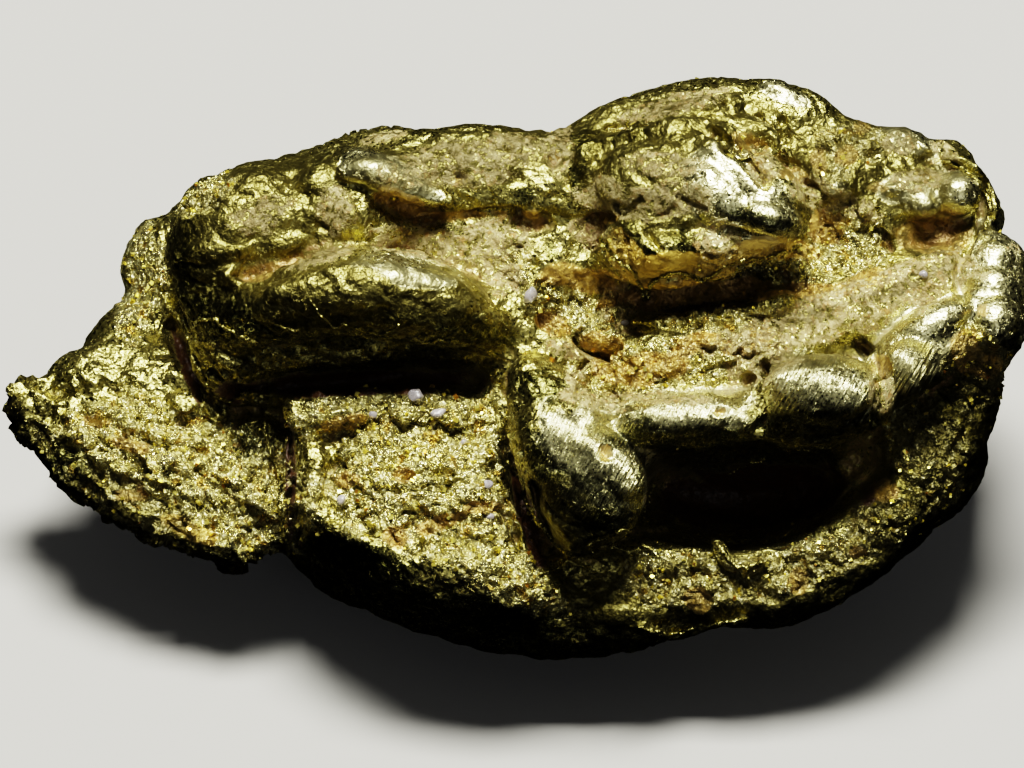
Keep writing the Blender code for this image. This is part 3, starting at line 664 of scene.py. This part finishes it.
# Clouds of noise that break up each finish: the size of a patch in millimetres, its detail and
# its roughness, then the noise from which and to which the cloud softly changes, and its values
# there where they aren't 0 and 1.
CLOUDS = {
    "ragged": (0.14, 5.0, 0.65),
    "specks": (0.035, 2.0, 0.55),
    "tone": (0.5, 3.0, 0.55),
    "pits": (0.09, 5.0, 0.7, 0.37, 0.44, 1.0, 0.0),
    "pitted": (0.4, 3.0, 0.55, 0.42, 0.6, 0.3, 1.0),
    "satin": (0.05, 3.0, 0.55, 0.35, 0.6, 0.22, 0.36),
    "polish": (0.04, 3.0, 0.55, 0.35, 0.65, 0.22, 0.36),
    "pale crust": (0.13, 4.0, 0.6, 0.35, 0.65),
    "bright crust": (0.07, 4.0, 0.6, 0.52, 0.64),
    "brown crust": (0.25, 3.0, 0.55, 0.56, 0.68),
    "tarnish_and_shade": (0.08, 5.0, 0.7, 0.36, 0.62, 0.45, 0.95),
    "rust": (0.1, 4.0, 0.55, 0.38, 0.58),
    "clay": (0.12, 6.0, 0.7, 0.43, 0.5),
    "tan clay": (0.3, 5.0, 0.6, 0.35, 0.65),
    "brown clay": (0.14, 3.0, 0.55, 0.56, 0.68),
    "pale clay": (0.045, 3.0, 0.55, 0.6, 0.7),
    "film": (0.22, 4.0, 0.6, 0.3, 0.65, 0.85, 0.35),
    "painted_hollow_shade": (0.1, 4.0, 0.55, 0.3, 0.6, 0.0, 0.7),
    "grain": (0.022, 2.0, 0.6),
    "dents": (0.13, 3.0, 0.5),
    "clay grain": (0.06, 5.0, 0.75),
    "crumple": (0.17, 3.0, 0.55),
    "hammering": (0.09, 2.0, 0.5),
}

# Each finish's rim, torn so that specks of one show through the next: where on its mask it
# starts and is whole, then how far the ragged and the specked clouds shift that.
RIMS = {
    "rubbed": (0.3, 0.8, 0.8, 0.2),
    "crystals": (0.35, 0.65, 1.1, 0.6),
    "tarnish_and_shade": (0.1, 1.0, 1.0, 0.5),
    "stain": (0.4, 0.85, 1.1, 0.6),
    "ochre": (0.3, 0.7, 1.1, 0.6),
    "clay": (0.4, 0.85, 1.2, 0.9),
    "film": (0.2, 0.9, 0.6, 0.3),
    "painted_cave_shade": (0.3, 0.75, 0.9, 0.8),
}

CRUST_FACES = (0.09, 0.035)  # mm across, the coarse crystals' and the fine ones'
SCRATCH_WIDTH = 0.05  # mm
SCRATCH_TURN = -60.0  # degrees on the face
SCRATCH_DRAW = (0.05, 1.0, 0.1)  # the noise is drawn out along the scratches


def native_gold():
    """Native gold, rolled in a stream: rubbed places are pale, greenish and mirror-bright between
    fine pits, sheltered crusts glitter in tiny yellow faces, and hollows hold matt clay and rust.
    Shade is painted on too: dark green under the lobes, and brown deep in the hollows and the caves."""
    material, tree, place = blank("native_gold_stream_worn")
    add = partial(node, tree)
    soft = {"interpolation_type": "SMOOTHSTEP"}
    mask = {name: add("Attribute", attribute_name=name).outputs["Fac"] for name in masks}

    cloud = {}
    for name, (size, detail, roughness, *change) in CLOUDS.items():
        inputs = {"Scale": 1.0 / (size * MILLIMETRE), "Detail": detail, "Roughness": roughness}
        cloud[name] = add("TexNoise", {"Vector": place, **inputs})
        if change:
            cloud[name] = add("MapRange", [cloud[name], *change], **soft)

    ragged = add("Math", [cloud["ragged"], 0.5], operation="SUBTRACT")
    specks = add("Math", [cloud["specks"], 0.5], operation="SUBTRACT")
    torn = {}
    for name, (start, whole, pull, speck) in RIMS.items():
        rim = add("Math", [ragged, pull, mask[name]], operation="MULTIPLY_ADD")
        rim = add("Math", [specks, speck, rim], operation="MULTIPLY_ADD")
        torn[name] = add("MapRange", [rim, start, whole], **soft)

    # Ragged pits in the bare gold, fewer of them where it is rubbed.
    pits = add("Math", [cloud["pits"], cloud["pitted"]], operation="MULTIPLY")
    spared = add("MapRange", [torn["rubbed"], 0.0, 1.0, 1.0, 0.4], **soft)
    pits = add("Math", [pits, spared], operation="MULTIPLY")

    # Crystal faces, each tipped its own way: its height is how far a point lies along the random
    # slope of its own cell. Here and there a coarse one is duller, and a fine one flashes.
    cells = [add("TexVoronoi", {"Vector": place, "Scale": 1.0 / (size * MILLIMETRE)}) for size in CRUST_FACES]
    coarse_chance, fine_chance = (add("SeparateColor", [cell.outputs["Color"]]).outputs for cell in cells)
    crystal_gloss = add("MapRange", [coarse_chance[2], 0.0, 1.0, 0.15, 0.33], **soft)
    flashing = add("MapRange", [fine_chance[0], 0.86, 0.88], **soft)
    faces = []
    for cell in cells:
        offset = add("VectorMath", [place, cell.outputs["Position"]], operation="SUBTRACT")
        slope = add("VectorMath", [cell.outputs["Color"], (0.5, 0.5, 0.5)], operation="SUBTRACT")
        faces.append(add("VectorMath", [offset, slope], operation="DOT_PRODUCT").outputs["Value"])

    # Clay film, torn open so that the gold glints through it, then tarnish with painted dark-green shade,
    #     grease, and painted brown shade, which is darkest deep in the hollows and the caves under the lobes.
    clay = add("Math", [torn["clay"], cloud["clay"]], operation="MULTIPLY")
    glints = add("Math", [clay, flashing], operation="MULTIPLY")
    cleared = add("Math", [glints, 0.8], operation="MULTIPLY")
    clay = add("Math", [clay, cleared], operation="SUBTRACT")
    tarnish_and_shade = add("Math", [torn["tarnish_and_shade"], cloud["tarnish_and_shade"]], operation="MULTIPLY")
    film = add("Math", [torn["film"], cloud["film"]], operation="MULTIPLY")
    sheltered = add("MapRange", [mask["low"], 0.35, 1.0], **soft)
    painted_hollow_shade = add("Math", [sheltered, cloud["painted_hollow_shade"]], operation="MULTIPLY")

    # Each finish's colours from the lowest up, as (what it covers, its colour or finish, and how
    # much of it shows where that isn't all).
    coats = {
        "gold": [
            "#7C753E",
            (cloud["tone"], "#A89F62"),
            (torn["rubbed"], "#D2CC9A", 0.8),
            (pits, "#2A2B10", 0.8),
        ],
        "crust": [
            "#857C40",
            (cloud["pale crust"], "#BDB478"),
            (cloud["bright crust"], "#E6E0AC"),
            (cloud["brown crust"], "#947A34"),
        ],
        "rust": ["#6E4A18", (cloud["rust"], "#B49044")],
        "dried clay": [
            "#7A6A42",
            (cloud["tan clay"], "#A89A6C"),
            (cloud["brown clay"], "#967642"),
            (cloud["pale clay"], "#C8BC8C"),
        ],
        "nugget": [
            "gold",
            (torn["crystals"], "crust"),
            (tarnish_and_shade, "#2A2C12"),
            (torn["stain"], "rust", 0.7),
            (torn["ochre"], "#C09A38", 0.6),
            (glints, "#E4D488"),
            # painted shade: dark green on the undersides of the lobes, with some tarnish
            (clay, "dried clay"),
            (film, "#4A431E"),
            # painted shade: brown, darker the deeper the hollow
            (painted_hollow_shade, "#5A3A14"),
            # painted shade: darkest brown in the caves under the lobes
            (torn["painted_cave_shade"], "#38210A"),
        ],
    }
    colours = {}
    for name, (below, *layers) in coats.items():
        below = colours.get(below) or linear(below)
        for cover, colour, *share in layers:
            if share:
                cover = add("Math", [cover, *share], operation="MULTIPLY")
            inputs = {0: cover, 6: below, 7: colours.get(colour) or linear(colour)}
            below = add("Mix", inputs, data_type="RGBA").outputs[2]
        colours[name] = below

    # How far each finish takes the metal's shine away, and how rough it leaves it.
    dull = add("Math", [painted_hollow_shade, torn["painted_cave_shade"]], operation="MAXIMUM")
    matt = [(torn["stain"], 0.4), (torn["ochre"], 0.5), (torn["crystals"], 0.12), (clay, 0.68)]
    for cover, share in matt:
        dulled = add("Math", [cover, share], operation="MULTIPLY")
        dull = add("Math", [dull, dulled], operation="MAXIMUM")
    hidden_metal = add("Math", [dull, 0.95], operation="MULTIPLY")
    metallic = add("Math", [1.0, hidden_metal], operation="SUBTRACT")
    rough = cloud["satin"]
    gloss = [(torn["rubbed"], cloud["polish"]), (torn["crystals"], crystal_gloss), (dull, 0.42), (film, 0.46)]
    for cover, value in gloss:
        rough = add("Mix", {0: cover, 2: rough, 3: value})

    # Fine scratches on the striped lobes, hammering on the other rubbed ones.
    leant = (math.radians(-FACE_LEAN), 0.0, math.radians(SCRATCH_TURN))
    turned = add("Mapping", {"Vector": place, "Rotation": leant})
    drawn = add("VectorMath", [turned, SCRATCH_DRAW], operation="MULTIPLY")
    inputs = {"Scale": 1.0 / (SCRATCH_WIDTH * MILLIMETRE), "Detail": 3.0, "Roughness": 0.6}
    scratches = add("TexNoise", {"Vector": drawn, **inputs})
    smoothed = add("Math", [torn["rubbed"], 0.8], operation="MULTIPLY")
    unworn = add("Math", [1.0, smoothed], operation="SUBTRACT")
    scratched = add("Math", [mask["striped"], 0.85], operation="MULTIPLY")
    unscratched = add("Math", [1.0, scratched], operation="SUBTRACT")
    hammered = add("Math", [torn["rubbed"], unscratched], operation="MULTIPLY")
    centred = add("Math", [cloud["crumple"], 0.5], operation="SUBTRACT")
    creases = add("Math", [centred], operation="ABSOLUTE")
    sparkle = add("Math", [torn["crystals"], 0.35], operation="MULTIPLY")
    sparkle = add("Math", [sparkle, glints], operation="MAXIMUM")

    # Relief that the skin is too coarse for: its height, where it lies and how deep it is. A face's
    # height is in metres already, so its depth is a share of its true slope.
    reliefs = [
        (cloud["grain"], unworn, 0.004 * MILLIMETRE),
        (cloud["dents"], unworn, 0.06 * MILLIMETRE),
        (pits, -1.0, 0.02 * MILLIMETRE),
        (scratches, mask["striped"], 0.11 * MILLIMETRE),
        (cloud["clay grain"], clay, 0.03 * MILLIMETRE),
        (creases, torn["crystals"], 0.22 * MILLIMETRE),
        (faces[0], torn["crystals"], 0.25),
        (faces[1], sparkle, 0.9),
        (cloud["hammering"], hammered, 0.016 * MILLIMETRE),
    ]
    below = {}
    for height, where, depth in reliefs:
        height = add("Math", [height, where], operation="MULTIPLY")
        below = {"Normal": add("Bump", {"Height": height, "Distance": depth, **below})}

    inputs = {"Base Color": colours["nugget"], "Metallic": metallic, "Roughness": rough, **below}
    surface = add("BsdfPrincipled", inputs)
    add("OutputMaterial", {"Surface": surface})
    return material


nugget.data.materials.clear()
nugget.data.materials.append(native_gold())
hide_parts("nugget")
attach(nugget, "root")

# ------------------------
# Torn edges: where a fold of the nugget ends, its gold is beaten out into a ragged leaf no
# thicker than paper. They are the nugget's own gold, thin enough to catch the light.

LEAF_VOXEL = 0.022  # mm
LEAF_STEP = 0.045  # mm between the beads that an edge is fused from
LEAF_WAVER = 0.05  # mm that they stray from its path
WAVER_SEED = 4  # of the noise that they and the grains are made uneven by

# An edge is ([(across, up) that it runs through], how thick, how far it stands out), in millimetres.
LEAVES = [
    ([(-5.5, 1.4), (-5.3, 1.1), (-5.1, 0.8), (-5.05, 0.55), (-4.95, 0.35), (-4.75, 0.0), (-4.65, -0.2),
      (-4.4, -0.25)], 0.045, 0.12),
    ([(-4.85, -0.1), (-4.75, -0.4), (-4.65, -0.55), (-4.45, -0.55)], 0.035, 0.08),
    ([(-4.85, 1.0), (-4.65, 1.0), (-4.5, 0.9), (-4.1, 0.68), (-3.75, 0.55)], 0.03, 0.08),
    ([(-3.7, 0.48), (-3.45, 0.44), (-3.05, 0.47), (-2.9, 0.35), (-2.7, 0.28)], 0.03, 0.08),
    ([(-3.65, 0.93), (-3.45, 0.82), (-3.3, 0.82)], 0.025, 0.06),
    ([(-3.1, 1.3), (-3.05, 1.15), (-2.9, 1.0), (-2.75, 0.88), (-2.55, 0.92)], 0.025, 0.06),
    ([(-2.2, 0.83), (-2.05, 0.75), (-1.9, 0.85), (-1.75, 0.9)], 0.025, 0.06),
    ([(-1.5, 0.72), (-1.3, 0.62), (-1.1, 0.66), (-0.85, 0.6)], 0.03, 0.08),
    ([(1.4, 2.25), (1.55, 2.02), (1.7, 1.85), (1.9, 1.7), (2.0, 1.45), (2.08, 1.3), (2.16, 1.5),
      (2.3, 1.66), (2.7, 1.7)], 0.04, 0.1),
    ([(2.7, 1.7), (2.95, 1.6), (3.2, 1.75), (3.5, 1.9), (3.9, 1.95), (4.25, 2.05), (4.5, 2.15)], 0.035, 0.1),
    ([(-3.85, -0.5), (-3.82, -0.9), (-3.7, -1.2), (-3.62, -1.5), (-3.65, -1.8), (-3.6, -2.1),
      (-3.48, -2.65)], 0.04, 0.12),
    ([(-0.2, -0.65), (-0.1, -1.0), (0.0, -1.3), (0.15, -1.5), (0.2, -1.8), (0.35, -2.05), (0.7, -2.5),
      (0.9, -2.65)], 0.045, 0.12),
    ([(2.2, -1.6), (2.1, -1.95), (1.9, -2.2), (1.5, -2.35), (1.15, -2.5)], 0.03, 0.06),
    ([(3.4, -1.38), (3.65, -1.28), (3.9, -1.2)], 0.03, 0.06),
    ([(4.45, -1.05), (4.7, -1.0), (4.95, -1.0)], 0.03, 0.06),
    ([(0.45, -2.95), (0.75, -2.85), (0.85, -2.75), (1.3, -2.95)], 0.04, 0.1),
    ([(3.18, -2.48), (3.36, -2.72), (3.6, -2.85), (3.85, -2.76)], 0.05, 0.1),
    ([(2.0, -3.75), (2.4, -3.88), (2.7, -3.84), (3.0, -3.74), (3.6, -3.64)], 0.035, 0.08),
    ([(-7.3, -1.6), (-7.1, -1.75), (-6.95, -1.7), (-6.7, -2.0)], 0.03, 0.06),
    ([(6.75, 3.45), (7.1, 3.3), (7.35, 3.0), (7.42, 2.7), (7.36, 2.4)], 0.035, 0.08),
    ([(5.6, 0.35), (5.68, 0.1), (5.7, -0.2), (5.66, -0.5)], 0.03, 0.05),
]

nugget_tree = tree_of(nugget)
inwards = face_to_world.to_3x3() @ Vector((0.0, 0.0, -1.0))


def on_nugget(u, v):
    """The place on the finished nugget's front that is u across and v up, or None beside it."""
    place = nugget_tree.ray_cast(face_to_world @ Vector((u, v, IN_FRONT)), inwards)[0]
    return None if place is None else world_to_face @ place


noise.seed_set(WAVER_SEED)  # it would be seeded from the clock
pile = bmesh.new()
for path, thick, reach in LEAVES:
    for u, v, _ in along([(*spot, 0.0) for spot in path], LEAF_STEP):
        waver = noise.noise_vector(Vector((u, v, 1.0)) * 9.0)
        place = on_nugget(u + LEAF_WAVER * waver.x, v + LEAF_WAVER * waver.y)
        if place is None:
            continue
        torn_reach = reach * (0.55 + 0.9 * abs(waver.z))
        shape = (
            Matrix.Translation(place)
            @ Matrix.Rotation(0.6 * waver.x, 4, "X")
            @ Matrix.Diagonal((thick * (1.0 + 0.5 * waver.y), thick, torn_reach, 1.0))
        )
        bmesh.ops.create_icosphere(pile, subdivisions=2, radius=1.0, matrix=shape)
torn_edges = new_object("torn_edges", pile)
fuse(torn_edges, LEAF_VOXEL, 1)
torn_edges.data.transform(face_to_world)
torn_edges.data.materials.append(bpy.data.materials["native_gold_stream_worn"])
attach(torn_edges, "root")

# ------------------------
# Gold crystals: the sheltered crusts of the nugget are sown with tiny blocks of gold, grown in
# place and only a few hundredths of a millimetre across, whose flat faces flash one by one.

CRYSTAL_COUNT = 900
CRYSTAL_SIDES = (0.03, 0.08)  # mm
CLUMP = 200  # crystals made at a time, because adding to a small mesh is quick
LOWEST_CRYSTAL = 0.1 * MILLIMETRE  # above the table top

draw = random.Random(5)
crusted = masks["crystals"] * (1.0 - masks["clay"]) > 0.4
sown = np.flatnonzero(crusted & (worn[:, 2] > LOWEST_CRYSTAL))
sown = draw.sample(sown.tolist(), CRYSTAL_COUNT)
druse = bmesh.new()
for start in range(0, CRYSTAL_COUNT, CLUMP):
    clump = bmesh.new()
    for index in sown[start : start + CLUMP]:
        side = draw.uniform(*CRYSTAL_SIDES)
        sides = [side * draw.uniform(0.5, 1.0) for _ in range(3)]
        turned = Euler([draw.uniform(0.0, math.pi) for _ in range(3)]).to_matrix().to_4x4()
        spot = Vector(points[index] + 0.2 * side * normals[index])
        shape = Matrix.Translation(spot) @ turned @ Matrix.Diagonal((*sides, 1.0))
        bmesh.ops.create_cube(clump, size=1.0, matrix=shape)
    clump_mesh = bpy.data.meshes.new("clump")
    clump.to_mesh(clump_mesh)
    clump.free()
    druse.from_mesh(clump_mesh)
    bpy.data.meshes.remove(clump_mesh)
gold_crystals = new_object("gold_crystals", druse)
gold_crystals.data.transform(face_to_world)


def crystal_gold():
    """Crystals of native gold as they grew: clean yellow metal with mirror faces, a few of them
    filmed with iron stain."""
    material, tree, place = blank("native_gold_crystals")
    cells = node(tree, "TexVoronoi", {"Vector": place, "Scale": 1.0 / (0.12 * MILLIMETRE)})
    chance = node(tree, "SeparateColor", [cells.outputs["Color"]]).outputs
    yellows = {0: chance[0], 6: linear("#C4B03A"), 7: linear("#EAE082")}
    yellow = node(tree, "Mix", yellows, data_type="RGBA").outputs[2]
    filmed = node(tree, "MapRange", [chance[1], 0.88, 0.94])
    stained = node(tree, "Mix", {0: filmed, 6: yellow, 7: linear("#A4742A")}, data_type="RGBA").outputs[2]
    rough = node(tree, "MapRange", [chance[2], 0.0, 1.0, 0.16, 0.42])
    scuffs = node(tree, "TexNoise", {"Vector": place, "Scale": 1.0 / (0.02 * MILLIMETRE), "Detail": 2.0})
    bump = node(tree, "Bump", {"Height": scuffs, "Distance": 0.003 * MILLIMETRE})
    inputs = {"Base Color": stained, "Metallic": 0.85, "Roughness": rough, "Normal": bump}
    node(tree, "OutputMaterial", {"Surface": node(tree, "BsdfPrincipled", inputs)})
    return material


gold_crystals.data.materials.append(crystal_gold())
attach(gold_crystals, "root")

# ------------------------
# Quartz grains: a few rounded grains of milky quartz sand, caught in the hollows of the gold and
# held by the folds beaten over them.

# A grain is (across, up, half width, half height, turn in degrees).
GRAINS = [
    (-1.15, -0.45, 0.13, 0.07, 12), (-1.5, -0.17, 0.12, 0.1, -20), (-2.15, -0.48, 0.08, 0.06, 0),
    (-2.65, -1.8, 0.08, 0.07, 30), (-0.35, -2.05, 0.07, 0.06, 0), (-0.4, -1.55, 0.11, 0.08, 15),
    (0.28, 1.38, 0.09, 0.13, -10), (6.38, 1.7, 0.07, 0.06, 0), (-0.75, -0.9, 0.05, 0.04, 40),
    (1.75, 0.95, 0.06, 0.05, 0),
]

sand = bmesh.new()
for u, v, half_width, half_height, turn in GRAINS:
    sunk = on_nugget(u, v) + Vector((0.0, 0.0, 0.2 * half_height))
    shape = (
        Matrix.Translation(sunk)
        @ Matrix.Rotation(math.radians(turn), 4, "Z")
        @ Matrix.Diagonal((half_width, half_height, half_height, 1.0))
    )
    grain = bmesh.ops.create_icosphere(sand, subdivisions=3, radius=1.0, matrix=shape)["verts"]
    for vertex in grain:
        vertex.co += 0.35 * half_height * noise.noise_vector(vertex.co * 9.0)
quartz_grains = new_object("quartz_grains", sand)
quartz_grains.data.transform(face_to_world)


def milky_quartz():
    """Quartz sand, river-worn: clear inside but for milky veils, with a faintly frosted skin."""
    material, tree, place = blank("milky_quartz_sand")
    veils = node(tree, "TexNoise", {"Vector": place, "Scale": 1.0 / (0.06 * MILLIMETRE), "Detail": 4.0})
    milks = {0: veils, 6: linear("#ADA5A8"), 7: linear("#E6DFE2")}
    milk = node(tree, "Mix", milks, data_type="RGBA").outputs[2]
    frost = node(tree, "MapRange", [veils, 0.0, 1.0, 0.15, 0.45])
    inputs = {"Base Color": milk, "Roughness": frost, "IOR": 1.54, "Transmission Weight": 0.7}
    node(tree, "OutputMaterial", {"Surface": node(tree, "BsdfPrincipled", inputs)})
    return material


quartz_grains.data.materials.append(milky_quartz())
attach(quartz_grains, "root")

# ------------------------
# The table top: a plain pale board, with one soft lamp overhead and a weak fill from the front.

FLOOR_SIDE = 0.6  # m
ROOM_LIGHT = 0.12  # how bright the grey room is around the lamps

board = bmesh.new()
bmesh.ops.create_grid(board, x_segments=1, y_segments=1, size=FLOOR_SIDE / 2)
floor = new_object("floor", board)
paint = bpy.data.materials.new("matt_pale_paint")
paint.use_nodes = True
coat = paint.node_tree.nodes["Principled BSDF"].inputs
coat["Base Color"].default_value = linear("#8A8986")
coat["Roughness"].default_value = 0.9
floor.data.materials.append(paint)
floor.visible_glossy = False


def lamp(name, place, aim, size, power, colour):
    """Hangs a soft rectangular lamp of so many watts at a place, turned to its aim."""
    data = bpy.data.lights.new(name, "AREA")
    data.shape = "RECTANGLE"
    data.size, data.size_y = size
    data.energy = power
    data.color = linear(colour)[:3]
    obj = bpy.data.objects.new(name, data)
    bpy.context.scene.collection.objects.link(obj)
    obj.location = place
    obj.rotation_euler = (Vector(aim) - Vector(place)).to_track_quat("-Z", "Y").to_euler()


nugget_middle = (0.0, 0.0, 0.004)
lamp("key", (0.0, 0.014, 0.164), nugget_middle, (0.065, 0.045), 0.98, "#FFFEF6")
lamp("fill", (0.05, -0.2, 0.12), nugget_middle, (0.1, 0.1), 0.05, "#F4F7FF")
world = bpy.data.worlds.new("studio")
world.use_nodes = True
world.node_tree.nodes["Background"].inputs["Color"].default_value = (*[ROOM_LIGHT] * 3, 1.0)
world.cycles_visibility.glossy = False
bpy.context.scene.world = world
bpy.context.scene.view_settings.view_transform = "Filmic"
bpy.context.scene.view_settings.look = "High Contrast"
